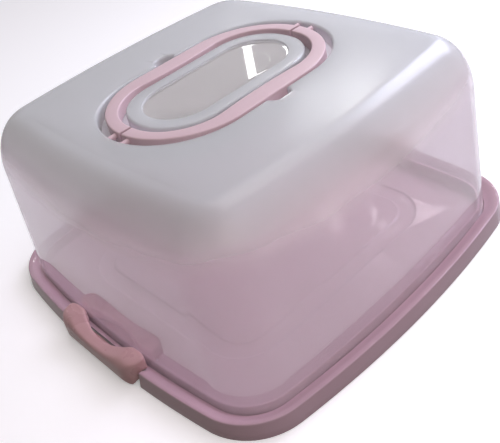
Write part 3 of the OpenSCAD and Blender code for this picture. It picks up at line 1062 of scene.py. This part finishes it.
        # the notch's cutter reaches past the tray outwards, above and below
        for end in (-1, 1):
            xs = sorted((end * clip.notch_x, end * 160.0))
            half = clip.half + clip.gap
            shell = cut(
                shell, block("notch", Vector((xs[0], -half, -5)), Vector((xs[1], half, 30)))
            )
        work = bmesh.new()
        work.from_mesh(shell.data)
        for end in (-1, 1):
            for side in (-1, 1):
                self._ear(work, clip, end, side)
        work.to_mesh(shell.data)
        work.free()
        dress(shell, finish)
        soften(shell.data)
        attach(shell, "tray")
        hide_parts("base_tray")
        LOG.info("%s: %d faces", shell.name, len(shell.data.polygons))


@dataclass(frozen=True)
class Lid:
    """The domed lid with the handles' well, the island and the oval window, in mm.

    The wall leans in by lean, and the shoulder above it is shoulder_w wide and shoulder_h high.
    The top falls by crown from the well to the shoulder. The island lies island_drop below the
    top and the window window_drop below the island. brim is the round of the well's edge, and
    scoop_room widens the finger scoops on the inside.
    """

    foot: Outline = Outline(137.0, 137.0, 36.5, 904.0)
    foot_z: float = 4.5
    top: float = 139.5
    wall: float = 2.2
    lean: float = 5.6
    shoulder_w: float = 27.5
    shoulder_h: float = 40.5
    crown: float = 1.2
    well: Outline = Outline(87.0, 55.0, 55.0)
    well_z: float = 130.0
    island: Outline = Outline(67.5, 36.0, 33.5)
    island_drop: float = 0.8
    window: Outline = Outline(57.5, 26.0, 26.0)
    window_drop: float = 1.2
    brim: float = 2.0
    scoop_y: float = 54.0
    scoop_r: float = 8.6
    scoop_room: float = 0.9

    def _side(self, inset: float, z_foot: float, z_top: float) -> list[Station]:
        """Rings of the wall and shoulder, from the top edge down to the foot."""
        shoulder_z = self.top - self.shoulder_h
        rings = []
        for degrees in range(90, -1, -6):
            t = math.radians(degrees)
            turn = (self.shoulder_w - inset) * (1 - math.cos(t))
            z = shoulder_z + (z_top - shoulder_z) * math.sin(t)
            outline = self.foot.inset(self.lean + inset + turn, self.foot.corner - inset - turn)
            rings.append(Station(outline, z))
        for share in (0.15, 0.35, 0.6, 0.8, 0.93):
            outline = self.foot.inset(self.lean * (1 - share) + inset, self.foot.corner - inset)
            rings.append(Station(outline, shoulder_z + (z_foot - shoulder_z) * share))
        rings.append(Station(self.foot.inset(inset, self.foot.corner - inset), z_foot))
        return rings

    def _window(self) -> list[Station]:
        """Rings of the window and the island, from the centre outwards."""
        island_z = self.top - self.island_drop
        z = island_z - self.window_drop
        rings = [Station(self.window, z, s) for s in (0.0, 0.3, 0.6, 0.85)]
        rings += fillet(self.window, z, 0.5, (1, 0, 0, 1))
        rings += fillet(self.window, island_z, 0.6, (0, -1, -1, 0))
        rings += fillet(self.island, island_z, 1.6, (1, 0, 0, -1), 6)
        rings += fillet(self.island, self.well_z, 0.8, (0, 1, -1, 0))
        return rings

    def _well(self) -> list[Station]:
        """Rings of the well's floor edge, its outer wall and its rounded brim."""
        rings = fillet(self.well, self.well_z, 0.8, (1, 0, 0, 1))
        rings += fillet(self.well, self.top, self.brim, (0, -1, -1, 0), 6)
        return with_scoop(rings, self.scoop_y, self.scoop_r + self.brim)

    def _plateau(self) -> list[Station]:
        """Rings of the flat top between the well and the shoulder, which falls away a little."""
        edge = self.foot.inset(self.lean + self.shoulder_w, self.foot.corner - self.shoulder_w)
        start = self.well.inset(-self.brim)
        rings = []
        for t in (0.12, 0.3, 0.5, 0.7, 0.88):
            rings.append(Station(between(start, edge, t), self.top - self.crown * t * t))
        return rings

    def _inside(self) -> list[Station]:
        """Rings of the inner surface, from the foot up and in to the centre."""
        inner_top = self.top - self.wall
        side = self._side(self.wall, self.foot_z, inner_top - self.crown)[::-1]
        edge = side[-1].outline
        hang = self.well.inset(-self.wall)
        low = self.well_z - self.wall
        rings = side
        for t in (0.7, 0.4):
            rings.append(Station(between(hang, edge, t), inner_top - self.crown * t * t))
        wall = fillet(hang, inner_top, 0.8, (-1, 0, 0, -1))
        wall += fillet(hang, low, 0.8, (0, 1, 1, 0))
        rings += with_scoop(wall, self.scoop_y, self.scoop_r + self.scoop_room + self.wall)
        under = self.island.inset(self.wall)
        plate = self.top - self.island_drop - self.wall
        rings += fillet(under, low, 0.6, (-1, 0, 0, 1))
        rings += fillet(under, plate, 0.5, (0, -1, 1, 0))
        pane = self.window.inset(-self.wall)
        rings += fillet(pane, plate, 0.4, (-1, 0, 0, -1), 2)
        rings += fillet(pane, plate - self.window_drop, 0.4, (0, 1, 1, 0), 2)
        rings += [Station(self.window, plate - self.window_drop, s) for s in (0.7, 0.35, 0.0)]
        return rings

    def build(self, loft: RingLoft, finish: bpy.types.Material) -> None:
        """Makes the lid and puts it on its body."""
        outer = self._side(0.0, self.foot_z, self.top - self.crown)
        rings = self._window() + self._well() + self._plateau() + outer + self._inside()
        shell = loft.make("lid_moulding", rings, finish)
        face_outwards(shell.data)
        dress(shell, finish)
        soften(shell.data, 50.0)
        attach(shell, "lid")
        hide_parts("lid_dome")
        LOG.info("%s: %d faces", shell.name, len(shell.data.polygons))


@dataclass(frozen=True)
class Handles:
    """The two halves of the folding carry ring, with their stub pins, in mm.

    split is the gap between the halves where they meet, at mid_x. pin_root is how deep a pin is
    rooted in the ring and solid_end how far from the pivot the channel under the grip begins.
    """

    ring: Outline = Outline(81.4, 53.2, 53.2)
    hole: Outline = Outline(72.0, 40.5, 38.0, STRAIGHT, 1.6, 34.0)
    top: float = 139.5
    height: float = 9.0
    wall: float = 2.2
    edge_r: float = 1.0
    split: float = 2.2
    mid_x: float = 77.0
    pin_y: float = 6.5
    pin_drop: float = 3.4
    pin_r: float = 1.8
    pin_root: float = 3.0
    pin_reach: float = 12.1
    solid_end: float = 7.0

    def _section(self) -> list[Station]:
        """Rings round the channel section: outer side, top, inner side and the channel."""
        low, ring, hole = self.top - self.height, self.ring, self.hole
        roof = self.top - self.wall
        rings = fillet(ring, low, 0.4, (1, 0, 0, 1), 2)
        rings += fillet(ring, self.top, self.edge_r, (0, -1, 1, 0), 5)
        rings += fillet(hole, self.top, self.edge_r, (-1, 0, 0, -1), 5)
        rings += fillet(hole, low, 0.4, (0, 1, -1, 0), 2)
        rings += fillet(hole.inset(-self.wall), low, 0.3, (1, 0, 0, 1), 2)
        rings += fillet(hole.inset(-self.wall), roof, 0.5, (0, -1, -1, 0), 2)
        rings += fillet(ring.inset(self.wall), roof, 0.5, (1, 0, 0, -1), 2)
        rings += fillet(ring.inset(self.wall), low, 0.3, (0, 1, -1, 0), 2)
        rings.append(rings[0])
        return rings

    def _shape_ends(self, mesh: bpy.types.Mesh) -> None:
        """Rounds the underside about the pivot and ends the channel short of it."""
        low, pivot_z = self.top - self.height, self.top - self.pin_drop
        knuckle = self.pin_y - self.split / 2
        ring_run = self.ring.half_x - self.ring.half_y
        hole_run = self.hole.half_x - self.hole.corner
        hole_rise = self.hole.half_y - self.hole.corner
        for vertex in mesh.vertices:
            x, y, z = (c / MM for c in vertex.co)
            near = self.pin_y - abs(y)
            if abs(y) < self.pin_y + self.solid_end and z < self.top - self.wall + 0.1:
                span = math.hypot(max(abs(x) - ring_run, 0), y)
                outside = span > self.ring.half_y - self.wall + 0.05
                hollow = math.hypot(max(abs(x) - hole_run, 0), max(abs(y) - hole_rise, 0))
                inside = hollow < self.hole.corner + self.wall - 0.1
                if not outside and not inside:
                    z = low
            if near > 0:
                z = max(z, pivot_z - math.sqrt(max(knuckle**2 - near**2, 0.0)))
            vertex.co.z = z * MM

    def build(self, loft: RingLoft, finish: bpy.types.Material) -> None:
        """Makes both handles and puts them on their bodies."""
        start = math.asin(self.split / 2 / self.mid_x)
        halves = ((-1, "front_handle", "front_grip"), (1, "back_handle", "back_grip"))
        for side, node, body in halves:
            begin = start if side > 0 else math.pi + start
            shell = loft.make(
                f"{node}_moulding", self._section(), finish, begin, math.pi - 2 * start
            )
            self._shape_ends(shell.data)
            work = bmesh.new()
            work.from_mesh(shell.data)
            bmesh.ops.remove_doubles(work, verts=work.verts, dist=2e-6)
            open_edges = [e for e in work.edges if e.is_boundary]
            bmesh.ops.contextual_create(work, geom=open_edges)
            bmesh.ops.holes_fill(work, edges=[e for e in work.edges if e.is_boundary])
            bmesh.ops.recalc_face_normals(work, faces=work.faces)
            for end in (-1, 1):
                root_x = end * (self.ring.half_x - self.pin_root)
                root = Vector((root_x, side * self.pin_y, self.top - self.pin_drop))
                add_pin(work, root, Vector((end, 0, 0)), self.pin_reach, self.pin_r)
            work.to_mesh(shell.data)
            work.free()
            dress(shell, finish)
            soften(shell.data, 40.0)
            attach(shell, body)
            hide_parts(node)
            LOG.info("%s: %d faces", shell.name, len(shell.data.polygons))


# ---- stage ----------------------------------------------------------------------------------


class Reach(Enum):
    """What a lamp lights: everything, only the gloss or everything but the gloss."""

    ALL = "all"
    GLOSS = "gloss"
    MATT = "matt"


class Rays(Enum):
    """The kinds of ray that see the plain pale surround, and how white it is to them."""

    CAMERA = ("Is Camera Ray", 1.0)
    TRANSMISSION = ("Is Transmission Ray", 0.88)
    GLOSSY = ("Is Glossy Ray", 0.75)


@dataclass(frozen=True)
class Lamp:
    """A soft rectangular lamp that points at the carrier: metres, watts and sRGB hex."""

    name: str
    at: tuple[float, float, float]
    size: tuple[float, float]
    power: float
    colour: str = "#ffffff"
    reach: Reach = Reach.ALL

    def build(self) -> None:
        """Adds the lamp."""
        data = bpy.data.lights.new(self.name, "AREA")
        data.shape, data.size, data.size_y = "RECTANGLE", self.size[0], self.size[1]
        data.energy, data.color = self.power, linear(self.colour)[:3]
        lamp = bpy.data.objects.new(self.name, data)
        lamp.location = self.at
        lamp.rotation_mode = "QUATERNION"
        lamp.rotation_quaternion = (Vector(self.at) - LAMP_AIM).to_track_quat("Z", "Y")
        lamp.visible_diffuse = self.reach is not Reach.GLOSS
        lamp.visible_glossy = self.reach is not Reach.MATT
        bpy.context.scene.collection.objects.link(lamp)


LAMPS: tuple[Lamp, ...] = (
    Lamp("window_light", (0.6, -0.05, 0.5), (0.35, 0.35), 2.9, "#e2e6fd"),
    Lamp("front_light", (-0.15, -0.6, 0.5), (0.5, 0.5), 1.15, "#fff4ee", Reach.MATT),
    Lamp("top_light", (0.4, 0.0, 0.9), (0.7, 0.7), 2.2, "#fffcf8"),
    # thin lamps that only show in gloss, as strokes on the lid's window and the tray's floor
    Lamp("window_strip", (0.728, 0.835, 0.624), (0.02, 0.11), 0.05, reach=Reach.GLOSS),
    Lamp("floor_strip_1", (0.779, 0.673, 0.796), (0.012, 0.06), 0.2, reach=Reach.GLOSS),
    Lamp("floor_strip_2", (0.859, 0.609, 0.796), (0.012, 0.115), 0.2, reach=Reach.GLOSS),
    Lamp("floor_strip_3", (0.794, 0.496, 0.796), (0.012, 0.05), 0.2, reach=Reach.GLOSS),
    Lamp("floor_strip_4", (0.761, 0.418, 0.796), (0.012, 0.045), 0.2, reach=Reach.GLOSS),
)


@dataclass(frozen=True)
class Studio:
    """Camera, floor and surround. The camera's angles are in radians, its place in metres.

    The room's light at the horizon and overhead is room_light, and daylight is how much more
    comes from daylight_way. floor_glow is how much the floor shines by itself to the eye.
    """

    camera_at: tuple[float, float, float] = (-0.2532, -0.3386, 0.3336)
    azimuth: float = 0.96769
    elevation: float = 0.63685
    roll: float = -0.25332
    lens: float = 49.8
    shift_x: float = 0.0424
    room_light: tuple[float, float] = (0.1, 0.24)
    daylight: float = 0.6
    daylight_way: tuple[float, float, float] = (0.8, -0.42, 0.42)
    floor_glow: float = 0.3

    def camera(self) -> None:
        """Adds the camera, as it stood for the photograph."""
        a, e = self.azimuth, self.elevation
        # the camera was fitted in a frame turned by a quarter about Z
        back = Vector((-math.cos(a) * math.cos(e), -math.sin(a) * math.cos(e), math.sin(e)))
        right = Vector((0, 0, 1)).cross(back).normalized()
        up = back.cross(right)
        c, s = math.cos(self.roll), math.sin(self.roll)
        axes = Matrix((c * right + s * up, c * up - s * right, back)).transposed()
        data = bpy.data.cameras.new("camera")
        data.lens, data.sensor_width, data.shift_x = self.lens, 36.0, self.shift_x
        data.clip_start, data.clip_end = 0.01, 50.0
        camera = bpy.data.objects.new("camera", data)
        camera.matrix_world = Matrix.Translation(self.camera_at) @ axes.to_4x4()
        bpy.context.scene.collection.objects.link(camera)
        bpy.context.scene.camera = camera

    @staticmethod
    def seen(tree: bpy.types.NodeTree) -> bpy.types.NodeSocket:
        """How white the surround is to a ray: straight, through plastic or in gloss."""
        path = add_node(tree, "ShaderNodeLightPath")
        most: bpy.types.NodeSocket | float = 0.0
        for ray in Rays:
            socket, share = ray.value
            part = add_node(
                tree,
                "ShaderNodeMath",
                {"operation": "MULTIPLY"},
                {0: path.outputs[socket], 1: share},
            )
            either = add_node(
                tree, "ShaderNodeMath", {"operation": "MAXIMUM"}, {0: most, 1: part.outputs[0]}
            )
            most = either.outputs[0]
        return most

    def surround(self) -> None:
        """Sets the world: white to the eye, pale in gloss and a soft grey room to light."""
        world = bpy.data.worlds.new("surround")
        bpy.context.scene.world = world
        world.use_nodes = True
        tree = world.node_tree
        tree.nodes.clear()
        seen = self.seen(tree)
        # the room is bright overhead, dim and warm towards the horizon and cool at the right
        way = add_node(tree, "ShaderNodeTexCoord").outputs["Generated"]
        height = add_node(tree, "ShaderNodeSeparateXYZ", None, {0: way}).outputs["Z"]
        dim, full = self.room_light
        bright = add_node(
            tree, "ShaderNodeMapRange", None, {0: height, 1: 0.0, 2: 0.9, 3: dim, 4: full}
        )
        aside = add_node(
            tree,
            "ShaderNodeVectorMath",
            {"operation": "DOT_PRODUCT"},
            {0: way, 1: self.daylight_way},
        )
        cool = add_node(
            tree,
            "ShaderNodeMapRange",
            None,
            {0: aside.outputs["Value"], 1: 0.0, 2: 1.0, 3: 0.0, 4: self.daylight},
        )
        walls = add_node(
            tree, "ShaderNodeBackground", None, {0: linear("#f4e4d8"), 1: bright.outputs[0]}
        )
        window = add_node(
            tree, "ShaderNodeBackground", None, {0: linear("#e2e2ff"), 1: cool.outputs[0]}
        )
        room = add_node(
            tree, "ShaderNodeAddShader", None, {0: walls.outputs[0], 1: window.outputs[0]}
        )
        white = add_node(tree, "ShaderNodeBackground", None, {0: linear("#ffffff"), 1: 1.0})
        shown = add_node(
            tree, "ShaderNodeMixShader", None, {0: seen, 1: room.outputs[0], 2: white.outputs[0]}
        )
        add_node(tree, "ShaderNodeOutputWorld", None, {0: shown.outputs[0]})

    def floor(self) -> None:
        """Adds the plain pale floor."""
        work = bmesh.new()
        bmesh.ops.create_grid(work, x_segments=1, y_segments=1, size=6.0)
        mesh = bpy.data.meshes.new("floor")
        work.to_mesh(mesh)
        work.free()
        floor = bpy.data.objects.new("floor", mesh)
        bpy.context.scene.collection.objects.link(floor)
        material = bpy.data.materials.new("Matt white paper")
        material.use_nodes = True
        tree = material.node_tree
        tree.nodes.clear()
        seen = self.seen(tree)
        tone = add_node(
            tree,
            "ShaderNodeMix",
            {"data_type": "RGBA"},
            {0: seen, 6: (0.17, 0.13, 0.11, 1.0), 7: (0.97, 0.97, 0.97, 1.0)},
        )
        paper = add_node(tree, "ShaderNodeBsdfDiffuse", None, {0: tone.outputs[2]})
        lift = add_node(
            tree, "ShaderNodeMath", {"operation": "MULTIPLY"}, {0: seen, 1: self.floor_glow}
        )
        glow = add_node(
            tree, "ShaderNodeEmission", None, {0: linear("#ffffff"), 1: lift.outputs[0]}
        )
        both = add_node(
            tree, "ShaderNodeAddShader", None, {0: paper.outputs[0], 1: glow.outputs[0]}
        )
        add_node(tree, "ShaderNodeOutputMaterial", None, {0: both.outputs[0]})
        mesh.materials.append(material)

    def build(self) -> None:
        """Adds everything on the stage."""
        self.camera()
        self.surround()
        self.floor()
        for lamp in LAMPS:
            lamp.build()
        bpy.context.scene.view_settings.view_transform = "Standard"


# ---- main -----------------------------------------------------------------------------------


def main() -> None:
    """Builds the carrier's pieces round the frame, dresses them and sets the stage."""
    logging.basicConfig(level=logging.INFO, format="%(message)s")
    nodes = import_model()["nodes"]
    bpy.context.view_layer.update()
    finishes = Finishes(
        tray=MouldedPolypropylene(
            "Pink polypropylene, moulded", "#bb9ca6", "#b595a0", roughness=0.035, bump=0.002
        ).build(),
        handle=MouldedPolypropylene(
            "Pink polypropylene, satin", "#dabfc5", "#d4b7be", roughness=0.36, bump=0.02
        ).build(),
        # the clips' pink is browner and darker than the handles': the same pink with painted warm
        # shade
        clip=MouldedPolypropylene(
            "Pink polypropylene, clip, painted warm shade", "#c39a9b", "#bd9394", roughness=0.28, bump=0.01
        ).build(),
        lid=FrostedPolypropylene("Natural polypropylene, frosted").build(),
    )
    loft = RingLoft()
    clip = Clip()
    clip.build(nodes, finishes.clip)
    Tray().build(loft, clip, finishes.tray)
    Lid().build(loft, finishes.lid)
    Handles().build(loft, finishes.handle)
    Studio().build()


if __name__ == "__main__":
    main()
